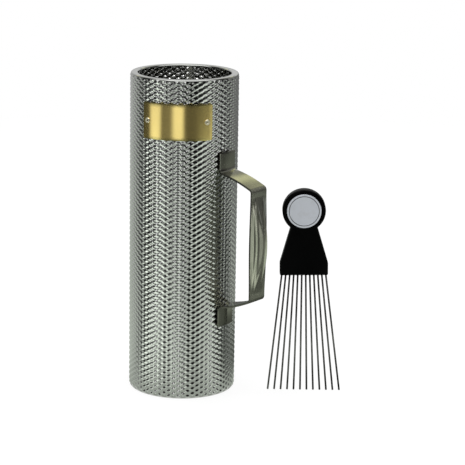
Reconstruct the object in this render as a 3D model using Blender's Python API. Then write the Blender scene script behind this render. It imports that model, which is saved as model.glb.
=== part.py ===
"""A metal guira with its handle and badge plate, and the wire scraper that plays it.

Real size in metres, +Z up. The set stands on the plane z = 0 and the handle points along +X.
"""

import math

import bmesh
import bpy
from mathutils import Matrix, Vector

MM = 0.001
DEGREE = math.pi / 180

# Clearance between pieces that touch on the real object
SEAT_GAP = 0.3 * MM

# Scraping tube: embossed sheet whose ends are turned in as a flat rim and down as a lip
TUBE_LENGTH = 341 * MM
SHEET_RADIUS = 56.4 * MM
SHEET_THICKNESS = 0.9 * MM
RIM_WIDTH = 7.5 * MM
RIM_BEND = 1.3 * MM
RIM_LIP = 4 * MM
BUMP_HEIGHT = 0.8 * MM
BUMP_COLUMNS = 44
BUMP_ROW_PITCH = 8.8 * MM
BUMP_MARGIN = 2 * MM
SEAM_AZIMUTH = 122 * DEGREE
CREST_RADIUS = SHEET_RADIUS + BUMP_HEIGHT

# Handle: one bent strap whose grip has a pressed boss
STRAP_WIDTH = 25 * MM
STRAP_THICKNESS = 2 * MM
HANDLE_REACH = 42.8 * MM
FOOT_LENGTH = 21 * MM
FOOT_BEND_HEIGHT = 72.5 * MM
GRIP_BEND_HEIGHT = 59.5 * MM
FOOT_BEND_RADIUS = 3 * MM
GRIP_BEND_RADIUS = 7 * MM
BEND_STEPS = 4
BOSS_HALF_LENGTH = 52 * MM
BOSS_HEIGHT = 8.1 * MM
BOSS_EASE = 1.5
BOSS_STEPS = 9
GRIP_SWELL = 1.5 * MM
INNER_RIDGE_OFFSET = 2.6 * MM
INNER_RIDGE_END_OFFSET = 6.6 * MM
INNER_RIDGE_SHARE = 0.98
OUTER_RIDGE_OFFSET = 7.6 * MM
OUTER_RIDGE_END_OFFSET = 9.6 * MM
OUTER_RIDGE_SHARE = 0.26
RIDGE_HALF_WIDTH = 0.9 * MM
RIDGE_HEIGHT = 0.6 * MM

# Badge plate, curved round the bumps
BADGE_WIDTH = 76 * MM
BADGE_HEIGHT = 38 * MM
BADGE_THICKNESS = 0.8 * MM
BADGE_CORNER_RADIUS = 2 * MM
BADGE_DROP = 43.5 * MM
BADGE_AZIMUTH = -59.4 * DEGREE
BADGE_SPANS = 14
CORNER_STEPS = 4

# Hollow rivets through the plate and the sheet
RIVET_INSET = 6 * MM
RIVET_SHANK_RADIUS = 1.6 * MM
RIVET_BORE_RADIUS = 1.1 * MM
RIVET_HEAD_RADIUS = 2.9 * MM
RIVET_HEAD_HEIGHT = 0.8 * MM
RIVET_CLINCH_RADIUS = 2.5 * MM
RIVET_CLINCH_HEIGHT = 0.6 * MM
RIVET_SIDES = 16

# Scraper head: a disc above a flared body, in the scraper's own frame with the floor at z = 0
HEAD_BASE = 129 * MM
HEAD_HALF_WIDTH = 25.6 * MM
HEAD_THICKNESS = 12 * MM
HEAD_SHOULDER = 13 * MM
HEAD_SHOULDER_RADIUS = 4 * MM
HEAD_CORNER_RADIUS = 1.5 * MM
HEAD_EDGE_ROUND = 1.8 * MM
HEAD_NECK_HALF_WIDTH = 14.2 * MM
DISC_RADIUS = 22.9 * MM
DISC_HEIGHT = 70 * MM
DISC_STEPS = 30

# Label set into the disc
LABEL_RADIUS = 18.1 * MM
LABEL_THICKNESS = 1 * MM
LABEL_RECESS = 0.9 * MM
LABEL_SIDES = 40

# Tines
TINE_COUNT = 12
TINE_RADIUS = 1 * MM
TINE_SIDES = 10
TINE_SEAT_DEPTH = 24 * MM
TINE_ROOT_SPREAD = 46.7 * MM
TINE_TIP_SPREAD = 77.1 * MM

# Where the scraper stands, seen with its face to the front, and how far its head leans to the left
SCRAPER_TURN = 37.6 * DEGREE
SCRAPER_LEAN = 1.2 * DEGREE
SCRAPER_SIDE_GAP = 36 * MM
SCRAPER_FORWARD = 19 * MM

# Flat-shaded edges are those sharper than this
SMOOTH_ANGLE = 35 * DEGREE


def clear_scene():
    for old in list(bpy.data.objects):
        bpy.data.objects.remove(old, do_unlink=True)


def finish(name, colour, roughness, metallic):
    material = bpy.data.materials.new(name)
    material.use_nodes = True
    shader = material.node_tree.nodes["Principled BSDF"]
    shader.inputs["Base Color"].default_value = (*colour, 1)
    shader.inputs["Roughness"].default_value = roughness
    shader.inputs["Metallic"].default_value = metallic
    return material


def add_empty(name, parent=None):
    empty = bpy.data.objects.new(name, None)
    bpy.context.scene.collection.objects.link(empty)
    empty.parent = parent
    return empty


def add_piece(name, bm, material, parent):
    """A named object from a bmesh, with its faces turned outwards and its round sides shaded smooth."""
    bmesh.ops.recalc_face_normals(bm, faces=bm.faces)
    mesh = bpy.data.meshes.new(name)
    bm.to_mesh(mesh)
    bm.free()
    mesh.shade_smooth()
    mesh.set_sharp_from_angle(angle=SMOOTH_ANGLE)
    piece = bpy.data.objects.new(name, mesh)
    bpy.context.scene.collection.objects.link(piece)
    piece.parent = parent
    if material:
        mesh.materials.append(material)
    return piece


def add_cutter(name, bm, parent):
    cutter = add_piece(name, bm, None, parent)
    cutter.hide_render = True
    cutter.display_type = "WIRE"
    return cutter


def cut(piece, cutter):
    boolean = piece.modifiers.new(cutter.name, "BOOLEAN")
    boolean.operation = "DIFFERENCE"
    boolean.solver = "EXACT"
    boolean.object = cutter


def add_rod(bm, radius, sides, low, high, placement=Matrix()):
    """A closed cylinder along Z from low to high, then placed."""
    middle = Matrix.Translation((0, 0, (low + high) / 2))
    bmesh.ops.create_cone(
        bm,
        cap_ends=True,
        segments=sides,
        radius1=radius,
        radius2=radius,
        depth=high - low,
        matrix=placement @ middle,
    )


def rounded_corner(before, corner, after, radius, steps):
    """Points and directions round one corner of a flat path, from one straight to the next."""
    incoming = (corner - before).normalized()
    outgoing = (after - corner).normalized()
    turn = incoming.angle_signed(outgoing)
    start = corner - incoming * radius * math.tan(abs(turn) / 2)
    side = math.copysign(1, turn)
    centre = start + Vector((incoming.y, -incoming.x)) * radius * side
    stations = []
    for step in range(steps + 1):
        rotation = Matrix.Rotation(-turn * step / steps, 2)
        stations.append((centre + rotation @ (start - centre), rotation @ incoming))
    return stations


def on_cylinder(radius, azimuth, height):
    return Vector((radius * math.cos(azimuth), radius * math.sin(azimuth), height))


def rim_path(inset):
    """Section of the upper rim from the wall to the lip's edge, this far in from the sheet's outer face."""
    corner = RIM_BEND + inset * math.tan(math.pi / 8)
    inner = SHEET_RADIUS - RIM_WIDTH
    return [
        (SHEET_RADIUS - inset, TUBE_LENGTH - corner),
        (SHEET_RADIUS - corner, TUBE_LENGTH - inset),
        (inner + corner, TUBE_LENGTH - inset),
        (inner + inset, TUBE_LENGTH - corner),
        (inner + inset, TUBE_LENGTH - RIM_LIP),
    ]


def tube_profile():
    """Half section of the plain sheet as a closed loop of (radius, height), above the outer wall's rows."""
    upper = rim_path(0) + rim_path(SHEET_THICKNESS)[::-1]
    lower = [(r, TUBE_LENGTH - z) for r, z in reversed(upper)]
    return upper + lower


def bump_rows():
    """Heights of the half rows of bumps on the outer wall, between the plain margins."""
    room = TUBE_LENGTH - 2 * (RIM_BEND + BUMP_MARGIN)
    count = int(room / (BUMP_ROW_PITCH / 2))
    lowest = (TUBE_LENGTH - count * BUMP_ROW_PITCH / 2) / 2
    return [lowest + row * BUMP_ROW_PITCH / 2 for row in range(count + 1)]


def is_bump(column, row, last_row):
    """Bumps stand in every other place of the lattice, and not on the seam or the outer rows."""
    return (column + row) % 2 == 0 and column != 0 and 0 < row < last_row


def build_tube(material, parent):
    rows = bump_rows()
    last_row = len(rows) - 1
    profile = [(SHEET_RADIUS, height) for height in rows] + tube_profile()
    bm = bmesh.new()
    rings = []
    for place, (radius, height) in enumerate(profile):
        ring = []
        for column in range(BUMP_COLUMNS):
            raised = place <= last_row and is_bump(column, place, last_row)
            azimuth = SEAM_AZIMUTH + 2 * math.pi * column / BUMP_COLUMNS
            reach = radius + (BUMP_HEIGHT if raised else 0)
            ring.append(bm.verts.new(on_cylinder(reach, azimuth, height)))
        rings.append(ring)
    for place, ring in enumerate(rings):
        above = rings[(place + 1) % len(rings)]
        for column in range(BUMP_COLUMNS):
            beside = (column + 1) % BUMP_COLUMNS
            corners = (ring[column], ring[beside], above[beside], above[column])
            if place >= last_row:
                bm.faces.new(corners)
            elif (column + place) % 2 == 0:
                bm.faces.new((corners[0], corners[1], corners[3]))
                bm.faces.new((corners[1], corners[2], corners[3]))
            else:
                bm.faces.new((corners[0], corners[1], corners[2]))
                bm.faces.new((corners[0], corners[2], corners[3]))
    return add_piece("scraping_tube", bm, material, parent)


def handle_stations():
    """The strap from its top end to mid grip: place, direction, curve across and the boss's share."""
    seat = CREST_RADIUS + SEAT_GAP + STRAP_THICKNESS / 2
    grip = CREST_RADIUS + HANDLE_REACH - STRAP_THICKNESS / 2
    middle = TUBE_LENGTH / 2
    top = Vector((seat, middle + FOOT_BEND_HEIGHT + FOOT_LENGTH))
    foot = Vector((seat, middle + FOOT_BEND_HEIGHT))
    bend = Vector((grip, middle + GRIP_BEND_HEIGHT))
    low = Vector((grip, middle))
    down = Vector((0, -1))
    stations = [(top, down, 1 / seat, 0)]
    for step, (place, way) in enumerate(rounded_corner(top, foot, bend, FOOT_BEND_RADIUS, BEND_STEPS)):
        stations.append((place, way, (1 - step / BEND_STEPS) / seat, 0))
    for place, way in rounded_corner(foot, bend, low, GRIP_BEND_RADIUS, BEND_STEPS):
        stations.append((place, way, 0, 0))
    for step in range(BOSS_STEPS + 1):
        along = math.cos(step / BOSS_STEPS * math.pi / 2)
        place = Vector((grip, middle + BOSS_HALF_LENGTH * along))
        stations.append((place, down, 0, (1 - along**2) ** BOSS_EASE))
    return stations


def strap_section(boss):
    """Places across the strap as (offset, rise), where the boss has this share of its full height.

    The ridges run closer together as the boss rises, and the strap swells a little.
    """
    inner = INNER_RIDGE_END_OFFSET + (INNER_RIDGE_OFFSET - INNER_RIDGE_END_OFFSET) * boss
    outer = OUTER_RIDGE_END_OFFSET + (OUTER_RIDGE_OFFSET - OUTER_RIDGE_END_OFFSET) * boss
    edge = STRAP_WIDTH / 2 + GRIP_SWELL * boss
    slope = (INNER_RIDGE_SHARE - OUTER_RIDGE_SHARE) / (outer - inner) * RIDGE_HALF_WIDTH
    skirt = OUTER_RIDGE_SHARE / (edge - outer) * RIDGE_HALF_WIDTH
    bead = RIDGE_HEIGHT / BOSS_HEIGHT
    shares = [
        (0, INNER_RIDGE_SHARE),
        (inner - RIDGE_HALF_WIDTH, INNER_RIDGE_SHARE),
        (inner, INNER_RIDGE_SHARE + bead),
        (inner + RIDGE_HALF_WIDTH, INNER_RIDGE_SHARE - slope),
        (outer - RIDGE_HALF_WIDTH, OUTER_RIDGE_SHARE + slope),
        (outer, OUTER_RIDGE_SHARE + bead),
        (outer + RIDGE_HALF_WIDTH, OUTER_RIDGE_SHARE - skirt),
        (edge, 0),
    ]
    half = [(offset, BOSS_HEIGHT * boss * share) for offset, share in shares]
    return [(-offset, rise) for offset, rise in reversed(half[1:])] + half


def strap_point(station, offset, rise):
    """One point of the strap's middle surface, at this offset across it and this rise from it."""
    place, way, curve, boss = station
    outward = Vector((-way.y, way.x))
    across, sag = offset, 0
    if curve:
        across = math.sin(curve * offset) / curve
        sag = (1 - math.cos(curve * offset)) / curve
    flat = place + outward * (rise - sag)
    return Vector((flat.x, across, flat.y))


def build_handle(material, parent):
    upper = handle_stations()
    lower = []
    for place, way, curve, boss in reversed(upper[:-1]):
        lower.append((Vector((place.x, TUBE_LENGTH - place.y)), Vector((-way.x, way.y)), curve, boss))
    bm = bmesh.new()
    rows = []
    for station in upper + lower:
        section = strap_section(station[-1])
        rows.append([bm.verts.new(strap_point(station, offset, rise)) for offset, rise in section])
    for row, following in zip(rows, rows[1:]):
        for place in range(len(row) - 1):
            bm.faces.new((row[place], row[place + 1], following[place + 1], following[place]))
    handle = add_piece("handle", bm, material, parent)
    solidify = handle.modifiers.new("strap", "SOLIDIFY")
    solidify.thickness = STRAP_THICKNESS
    solidify.offset = 0
    solidify.use_even_offset = True
    return handle


def badge_stations():
    """Places across the plate and its half height there, which falls away round the corners."""
    flat = BADGE_WIDTH / 2 - BADGE_CORNER_RADIUS
    stations = []
    for step in range(CORNER_STEPS):
        angle = step / CORNER_STEPS * math.pi / 2
        drop = BADGE_CORNER_RADIUS * (1 - math.sin(angle))
        stations.append((flat + BADGE_CORNER_RADIUS * math.cos(angle), BADGE_HEIGHT / 2 - drop))
    left = [(-offset, half_height) for offset, half_height in stations]
    spans = [(-flat + 2 * flat * span / BADGE_SPANS, BADGE_HEIGHT / 2) for span in range(BADGE_SPANS + 1)]
    return left + spans + stations[::-1]


def build_badge(material, parent):
    """The curved plate, centred on +X of its own frame with its middle at z = 0."""
    inner = CREST_RADIUS + SEAT_GAP
    bm = bmesh.new()
    columns = []
    for offset, half_height in badge_stations():
        column = []
        for radius in (inner, inner + BADGE_THICKNESS):
            for height in (-half_height, half_height):
                column.append(bm.verts.new(on_cylinder(radius, offset / inner, height)))
        columns.append(column)
    loop = (0, 1, 3, 2)
    for column, following in zip(columns, columns[1:]):
        for place, corner in enumerate(loop):
            beside = loop[(place + 1) % len(loop)]
            bm.faces.new((column[corner], column[beside], following[beside], following[corner]))
    for end in (columns[0], columns[-1]):
        bm.faces.new([end[corner] for corner in loop])
    badge = add_piece("badge_plate", bm, material, parent)
    badge.location = (0, 0, TUBE_LENGTH - BADGE_DROP)
    badge.rotation_euler = (0, 0, BADGE_AZIMUTH)
    return badge


def rivet_profile():
    """Half section of a set rivet as (radius, reach from the tube's axis)."""
    seat = CREST_RADIUS + 2 * SEAT_GAP + BADGE_THICKNESS
    inside = SHEET_RADIUS - SHEET_THICKNESS - SEAT_GAP
    head_round = RIVET_HEAD_HEIGHT / 2
    return (
        (RIVET_BORE_RADIUS, inside - RIVET_CLINCH_HEIGHT),
        (RIVET_CLINCH_RADIUS, inside - RIVET_CLINCH_HEIGHT),
        (RIVET_CLINCH_RADIUS, inside),
        (RIVET_SHANK_RADIUS, inside),
        (RIVET_SHANK_RADIUS, seat),
        (RIVET_HEAD_RADIUS, seat),
        (RIVET_HEAD_RADIUS, seat + head_round),
        (RIVET_HEAD_RADIUS - head_round, seat + RIVET_HEAD_HEIGHT),
        (RIVET_BORE_RADIUS + head_round, seat + RIVET_HEAD_HEIGHT),
        (RIVET_BORE_RADIUS, seat + head_round),
    )


def build_rivet(name, azimuth, material, parent):
    """A hollow rivet turned about +X of its own frame, which lies along the tube's radius."""
    bm = bmesh.new()
    profile = rivet_profile()
    rings = []
    for side in range(RIVET_SIDES):
        angle = 2 * math.pi * side / RIVET_SIDES
        ring = []
        for radius, reach in profile:
            ring.append(bm.verts.new((reach, radius * math.cos(angle), radius * math.sin(angle))))
        rings.append(ring)
    for side, ring in enumerate(rings):
        following = rings[(side + 1) % RIVET_SIDES]
        for place in range(len(profile)):
            beside = (place + 1) % len(profile)
            bm.faces.new((ring[place], ring[beside], following[beside], following[place]))
    rivet = add_piece(name, bm, material, parent)
    rivet.location = (0, 0, TUBE_LENGTH - BADGE_DROP)
    rivet.rotation_euler = (0, 0, azimuth)
    return rivet


def rivet_azimuths():
    spread = (BADGE_WIDTH / 2 - RIVET_INSET) / (CREST_RADIUS + SEAT_GAP)
    return {
        "badge_rivet_left": BADGE_AZIMUTH - spread,
        "badge_rivet_right": BADGE_AZIMUTH + spread,
    }


def add_rivet_hole(azimuth, name, parent):
    """A cutter for one rivet's hole through the plate and the sheet."""
    low = SHEET_RADIUS - 2 * SHEET_THICKNESS
    high = CREST_RADIUS + 2 * BADGE_THICKNESS
    height = Matrix.Translation((0, 0, TUBE_LENGTH - BADGE_DROP))
    along_x = Matrix.Rotation(math.pi / 2, 4, "Y")
    placement = height @ Matrix.Rotation(azimuth, 4, "Z") @ along_x
    bm = bmesh.new()
    add_rod(bm, RIVET_SHANK_RADIUS + SEAT_GAP, RIVET_SIDES, low, high, placement)
    return add_cutter(name, bm, parent)


def head_outline():
    """The head's outline as (across, height) from its bottom edge, anticlockwise."""
    neck_drop = math.sqrt(DISC_RADIUS**2 - HEAD_NECK_HALF_WIDTH**2)
    middle = Vector((0, 0))
    corner = Vector((HEAD_HALF_WIDTH, 0))
    shoulder = Vector((HEAD_HALF_WIDTH, HEAD_SHOULDER))
    neck = Vector((HEAD_NECK_HALF_WIDTH, DISC_HEIGHT - neck_drop))
    right = rounded_corner(middle, corner, shoulder, HEAD_CORNER_RADIUS, CORNER_STEPS)
    right += rounded_corner(corner, shoulder, neck, HEAD_SHOULDER_RADIUS, CORNER_STEPS)
    points = [(place.x, place.y) for place, way in right]
    neck_angle = math.atan2(-neck_drop, HEAD_NECK_HALF_WIDTH)
    sweep = math.pi - 2 * neck_angle
    for step in range(DISC_STEPS + 1):
        angle = neck_angle + sweep * step / DISC_STEPS
        points.append((DISC_RADIUS * math.cos(angle), DISC_HEIGHT + DISC_RADIUS * math.sin(angle)))
    points += [(-place.x, place.y) for place, way in reversed(right)]
    return points


def build_head(material, parent):
    bm = bmesh.new()
    front = [bm.verts.new((x, -HEAD_THICKNESS / 2, HEAD_BASE + z)) for x, z in head_outline()]
    face = bm.faces.new(front)
    extruded = bmesh.ops.extrude_face_region(bm, geom=[face], use_keep_orig=True)
    back = [item for item in extruded["geom"] if isinstance(item, bmesh.types.BMVert)]
    bmesh.ops.translate(bm, verts=back, vec=(0, HEAD_THICKNESS, 0))
    rims = [edge for edge in bm.edges if abs(edge.verts[0].co.y - edge.verts[1].co.y) < SEAT_GAP]
    bmesh.ops.bevel(bm, geom=rims, offset=HEAD_EDGE_ROUND, segments=2, profile=0.5, affect="EDGES")
    return add_piece("scraper_head", bm, material, parent)


def label_placement():
    """The label's frame: its back at z = 0 on the recess floor, its face towards the front."""
    floor = -HEAD_THICKNESS / 2 + LABEL_RECESS
    return Matrix.Translation((0, floor, HEAD_BASE + DISC_HEIGHT)) @ Matrix.Rotation(math.pi / 2, 4, "X")


def build_label(material, parent):
    bm = bmesh.new()
    add_rod(bm, LABEL_RADIUS, LABEL_SIDES, SEAT_GAP, SEAT_GAP + LABEL_THICKNESS, label_placement())
    return add_piece("scraper_label", bm, material, parent)


def add_label_recess(parent):
    bm = bmesh.new()
    add_rod(bm, LABEL_RADIUS + SEAT_GAP, LABEL_SIDES, 0, 2 * LABEL_RECESS, label_placement())
    return add_cutter("label_recess", bm, parent)


def tine_lean(tine):
    """Where a tine leaves the head, and how far it leans from the head's own upright."""
    share = tine / (TINE_COUNT - 1) - 0.5
    lean = math.atan2(share * (TINE_ROOT_SPREAD - TINE_TIP_SPREAD), HEAD_BASE)
    return share * TINE_ROOT_SPREAD, lean


def build_tine(tine, material, parent):
    """One tine, cut to reach the floor from the leaning head."""
    across, lean = tine_lean(tine)
    tilt = lean - SCRAPER_LEAN
    root = across * math.sin(SCRAPER_LEAN) + HEAD_BASE * math.cos(SCRAPER_LEAN)
    low = -(root - TINE_RADIUS * abs(math.sin(tilt))) / math.cos(tilt)
    high = TINE_SEAT_DEPTH / math.cos(lean)
    bm = bmesh.new()
    add_rod(bm, TINE_RADIUS, TINE_SIDES, low, high)
    piece = add_piece(f"tine_{tine + 1:02d}", bm, material, parent)
    piece.location = (across, 0, HEAD_BASE)
    piece.rotation_euler = (0, lean, 0)
    return piece


def add_tine_holes(parent):
    """One cutter with a blind hole for each tine, a little longer and wider than the wire."""
    bm = bmesh.new()
    for tine in range(TINE_COUNT):
        across, lean = tine_lean(tine)
        placement = Matrix.Translation((across, 0, HEAD_BASE)) @ Matrix.Rotation(lean, 4, "Y")
        high = TINE_SEAT_DEPTH / math.cos(lean) + SEAT_GAP
        add_rod(bm, TINE_RADIUS + SEAT_GAP, TINE_SIDES, -TINE_SEAT_DEPTH, high, placement)
    return add_cutter("tine_holes", bm, parent)


def build_instrument(root):
    steel = finish("stainless_sheet", (0.62, 0.63, 0.61), 0.18, 1)
    strap = finish("bright_steel_strap", (0.48, 0.49, 0.44), 0.24, 1)
    brass = finish("brass_plate", (0.80, 0.66, 0.27), 0.16, 1)
    eyelet = finish("brass_rivet", (0.86, 0.76, 0.46), 0.2, 1)
    tube = build_tube(steel, root)
    build_handle(strap, root)
    badge = build_badge(brass, root)
    for name, azimuth in rivet_azimuths().items():
        build_rivet(name, azimuth, eyelet, root)
        hole = add_rivet_hole(azimuth, f"{name}_hole", root)
        cut(tube, hole)
        cut(badge, hole)


def build_scraper(root):
    """The scraper hangs on an empty that stands on the floor at the middle of its tine tips."""
    black = finish("black_plastic", (0.012, 0.012, 0.013), 0.3, 0)
    silver = finish("silver_label", (0.36, 0.36, 0.38), 0.35, 0.6)
    wire = finish("steel_wire", (0.5, 0.5, 0.48), 0.28, 1)
    side = CREST_RADIUS + SCRAPER_SIDE_GAP + TINE_TIP_SPREAD / 2
    turn = Matrix.Rotation(SCRAPER_TURN, 3, "Z")
    stand = add_empty("scraper", root)
    stand.location = turn @ Vector((side, -SCRAPER_FORWARD, 0))
    stand.rotation_euler = (0, -SCRAPER_LEAN, SCRAPER_TURN)
    head = build_head(black, stand)
    cut(head, add_label_recess(stand))
    cut(head, add_tine_holes(stand))
    build_label(silver, stand)
    for tine in range(TINE_COUNT):
        build_tine(tine, wire, stand)


def centre_on_floor(root):
    """Moves the whole set so that the middle of its box's underside is the origin."""
    bpy.context.view_layer.update()
    graph = bpy.context.evaluated_depsgraph_get()
    points = []
    for piece in bpy.data.objects:
        if piece.type == "MESH" and not piece.hide_render:
            solid = piece.evaluated_get(graph)
            points += [solid.matrix_world @ vertex.co for vertex in solid.data.vertices]
    low = Vector(map(min, *points))
    high = Vector(map(max, *points))
    root.location = (-(low.x + high.x) / 2, -(low.y + high.y) / 2, -low.z)
    bpy.context.view_layer.update()


def main():
    clear_scene()
    root = add_empty("guira_set")
    build_instrument(root)
    build_scraper(root)
    centre_on_floor(root)


main()
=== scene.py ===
"""The looks of a metal guira and its wire scraper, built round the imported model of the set.

The frame is the model's own: metres, +Z up, the handle along +X, the set standing on z = 0.
"""

import math

import bmesh
import bpy
from bl_math import clamp, lerp
from mathutils import Matrix, Vector


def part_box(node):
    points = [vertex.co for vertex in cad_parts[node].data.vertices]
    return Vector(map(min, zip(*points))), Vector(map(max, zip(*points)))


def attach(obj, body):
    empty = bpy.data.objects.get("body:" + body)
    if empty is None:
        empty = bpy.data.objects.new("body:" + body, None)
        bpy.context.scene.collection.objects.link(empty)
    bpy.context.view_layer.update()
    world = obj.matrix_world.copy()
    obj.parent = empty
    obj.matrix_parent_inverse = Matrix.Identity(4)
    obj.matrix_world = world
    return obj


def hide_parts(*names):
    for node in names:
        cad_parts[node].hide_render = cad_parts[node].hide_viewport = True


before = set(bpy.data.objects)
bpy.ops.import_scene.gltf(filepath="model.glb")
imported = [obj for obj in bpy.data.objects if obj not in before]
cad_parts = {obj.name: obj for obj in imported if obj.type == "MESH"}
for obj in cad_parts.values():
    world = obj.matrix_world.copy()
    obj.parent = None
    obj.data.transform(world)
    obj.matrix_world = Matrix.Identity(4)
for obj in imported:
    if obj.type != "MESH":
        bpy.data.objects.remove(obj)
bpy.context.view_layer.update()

MM = 0.001
DEGREE = math.pi / 180

# The tube, as its solid stands
tube_low, tube_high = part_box("scraping_tube")
TUBE_AXIS = Vector(((tube_low.x + tube_high.x) / 2, (tube_low.y + tube_high.y) / 2, 0))
TUBE_LENGTH = tube_high.z
SHEET_RADIUS = 56.4 * MM
SHEET_THICKNESS = 0.9 * MM
SHEET_CREASE = 70 * DEGREE
SEAT_GAP = 0.3 * MM

# Embossing: bumps in staggered columns, with a plain welded seam at the back
BUMP_HEIGHT = 0.8 * MM
HOLLOW_DEPTH = 0.65 * MM
BUMP_FULLNESS = 0.75
LINING_SHARE = 1.5
# Crest values over which the lining's dents fade into their painted shade
LINING_DENT_SHADE = (0.66, 0.93)
CREST_RADIUS = SHEET_RADIUS + BUMP_HEIGHT
BUMP_COLUMNS = 70
BUMP_ROW_PITCH = 5.55 * MM
COLUMN_SHIFT = 0.4
ROW_SHIFT = 0.36
BUMP_MARGIN = 1.2 * MM
POINTS_PER_COLUMN = 3
RINGS_PER_ROW = 6
SEAM_AZIMUTH = 122 * DEGREE
SEAM_BEAD_HEIGHT = 0.3 * MM
SEAM_HALF_COLUMNS = 0.75
SEAM_FADE = 0.4

# Rims: the sheet turned in flat and then down as a lip
RIM_WIDTH = 7.5 * MM
RIM_BEND = 1.3 * MM
RIM_BEND_STEPS = 5
RIM_LIP = 1.8 * MM

# Handle: one bent strap whose grip has a pressed boss
STRAP_WIDTH = 25 * MM
STRAP_THICKNESS = 2 * MM
STRAP_EDGE_ROUND = 0.5 * MM
SIDEWAYS_NORMAL = 0.4
RUBBED_DEPTH = 4 * MM
HANDLE_REACH = 42.8 * MM
FOOT_LENGTH = 21 * MM
FOOT_BEND_HEIGHT = 72.5 * MM
GRIP_BEND_HEIGHT = 59.5 * MM
FOOT_BEND_RADIUS = 3 * MM
GRIP_BEND_RADIUS = 4 * MM
FOOT_STEPS = 8
BEND_STEPS = 8
LEG_STEPS = 8
LEG_BOW = 1.2 * MM
BOSS_HALF_LENGTH = 52 * MM
BOSS_HEIGHT = 8.1 * MM
BOSS_EASE = 1.5
BOSS_STEPS = 30
GRIP_SWELL = 1.5 * MM
INNER_RIDGE_OFFSET = 2.6 * MM
INNER_RIDGE_END_OFFSET = 5.7 * MM
INNER_RIDGE_SHARE = 0.98
OUTER_RIDGE_OFFSET = 7.6 * MM
OUTER_RIDGE_END_OFFSET = 9.8 * MM
OUTER_RIDGE_SHARE = 0.26
RIDGE_HALF_WIDTH = 1.7 * MM
RIDGE_HEIGHT = 1.2 * MM
RIDGE_SPANS = 6
FLAT_SPANS = 4

# Badge plate, curved round the bumps and left bare
BADGE_WIDTH = 76 * MM
BADGE_HEIGHT = 38 * MM
BADGE_THICKNESS = 0.8 * MM
BADGE_CORNER_RADIUS = 2 * MM
BADGE_EDGE_ROUND = 0.25 * MM
BADGE_DROP = 43.5 * MM
BADGE_AZIMUTH = -59.4 * DEGREE
BADGE_SPANS = 56
BADGE_ROWS = 24
TARNISH_DEPTH = 4 * MM

# Hollow rivets through the plate
RIVET_COUNT = 2
RIVET_INSET = 6 * MM
RIVET_SHANK_RADIUS = 1.6 * MM
RIVET_BORE_RADIUS = 1.1 * MM
RIVET_HEAD_RADIUS = 2.9 * MM
RIVET_HEAD_HEIGHT = 0.8 * MM
RIVET_CLINCH_RADIUS = 2.5 * MM
RIVET_CLINCH_HEIGHT = 0.6 * MM
RIVET_SIDES = 36
FLANGE_STEPS = 8

# Scraper, in its own frame: across, depth and height, with its face to the front
SCRAPER_TURN = 37.6 * DEGREE
SCRAPER_LEAN = 1.2 * DEGREE
SCRAPER_SIDE_GAP = 36 * MM
SCRAPER_FORWARD = 19 * MM
HEAD_BASE = 129 * MM
HEAD_HALF_WIDTH = 25.6 * MM
HEAD_THICKNESS = 12 * MM
HEAD_SHOULDER = 13 * MM
HEAD_SHOULDER_RADIUS = 4 * MM
HEAD_CORNER_RADIUS = 1.5 * MM
HEAD_EDGE_ROUND = 1.8 * MM
HEAD_EDGE_STEPS = 5
HEAD_NECK_HALF_WIDTH = 14.2 * MM
HEAD_CREASE = 40 * DEGREE
DISC_RADIUS = 22.9 * MM
DISC_HEIGHT = 70 * MM
DISC_STEPS = 72
CORNER_STEPS = 8
LABEL_RADIUS = 18.1 * MM
LABEL_RECESS = 0.9 * MM
LABEL_THICKNESS = 1 * MM
LABEL_EDGE_ROUND = 0.3 * MM
LABEL_SIDES = 96
LABEL_RING_RADIUS = 15.8 * MM
LABEL_RING_WIDTH = 0.7 * MM
LABEL_RING_BLUR = 0.1 * MM
LABEL_CREASE = 50 * DEGREE
TINE_COUNT = 12
TINE_RADIUS = 1 * MM
TINE_SIDES = 20
TINE_TIP_ROUND = 0.25 * MM
TINE_SEAT_DEPTH = 24 * MM
TINE_ROOT_SPREAD = 46.7 * MM
TINE_TIP_SPREAD = 77.1 * MM

# Edges of bent plates, and how far a cutter runs past what it cuts
BEVEL_STEPS = 3
BEVEL_ANGLE = 60 * DEGREE
CUTTER_OVERRUN = 2 * MM

# The photograph's camera, from the tube's foot: right, away and up
PHOTO_PIXELS = 465
VIEW_AZIMUTH = 37.6 * DEGREE
CAMERA_PLACE = Vector((38.3 * MM, -1965.7 * MM, 658 * MM))
CAMERA_YAW = 0.42 * DEGREE
CAMERA_PITCH = 13.98 * DEGREE
CAMERA_ROLL = 0.98 * DEGREE
CAMERA_FOCAL_PIXELS = 1897.9
CAMERA_SENSOR = 36

# Studio: a white floor, inside a tent of light and dark cards
FLOOR_RADIUS = 1.6
FLOOR_PALE = 0.8
FLOOR_SHADOWED = 0.22
FLOOR_GLOW = 0.86
TENT_FOOT = 0.058
TENT_RADIUS = 1.3
TENT_HEIGHT = 1.65
TENT_SIDES = 180
CARD_LIFT = 0.5 * MM
AMBIENT_TONE = 0.5
LAMP_SIZE = 1.2
LAMP_HEIGHT = 1.7
LAMP_POWER = 14

# Heights where the wall's cards fade into each other
SKIRT_HEAD = (0.128, 0.192)
BAND_FOOT = (0.45, 0.55)
BAND_HEAD = (0.92, 0.8)
WINDOW_FOOT = (0.93, 1.0)
WINDOW_HEAD = (1.2, 1.06)

# The back window by its distance behind the tube, and the bright ceiling by its distance in front
WINDOW_DEPTH = (0.7, 1.0)
WINDOW_TONE = (1.12, 1.1, 0.73, 1)
CEILING_SPLIT = (-0.1, 0.2)
CEILING_EDGE = (1.15, 1.0)
CEILING_TONES = (0.4, 3.0)

# The floor's cards by the reach from the tube where they fade, and the far one by its degrees too
POOL_END = (0.42, 0.3)
FOOT_END = (0.14, 0.07)
FOOT_TONE = 0.5
FAR_START = (0.98, 1.04)
FAR_DEGREES = (90, 97.2)
FAR_TONE = 0.2
FLOOR_TINT = (0.93, 1.0, 0.9, 1)

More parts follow.
